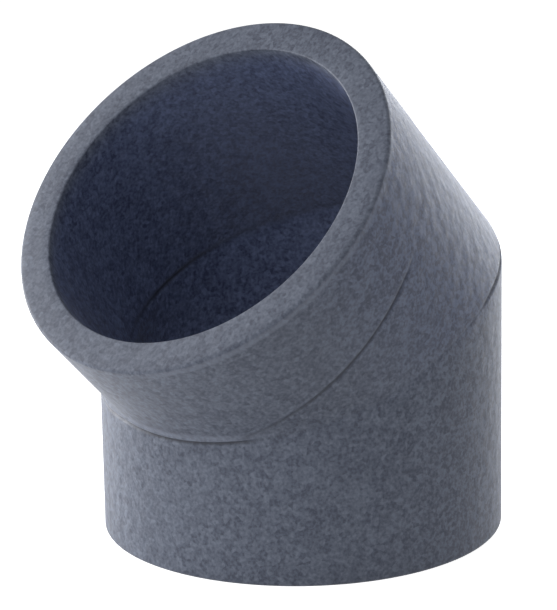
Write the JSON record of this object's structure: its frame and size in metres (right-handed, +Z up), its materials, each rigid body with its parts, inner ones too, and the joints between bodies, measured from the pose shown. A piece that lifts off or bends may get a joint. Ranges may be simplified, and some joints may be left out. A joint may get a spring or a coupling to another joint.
{
  "type": "insulated duct bend",
  "caption": "Thick-walled foam duct bend with a mitred turn, open at both ends, that carries air and insulates it.",
  "frame": {"origin": "centre of the bore on the rim that the bend stands on", "axes": "+Z up the axis of the lower leg, and the upper leg leans over towards +X, the throat side"},
  "size_m": [0.2318, 0.192, 0.2418],
  "materials": {
    "foam": "matt fused bead foam, dark blue-grey with a fine speckle"
  },
  "bodies": {
    "root": {"duct_bend": "foam"}
  },
  "joints": []
}
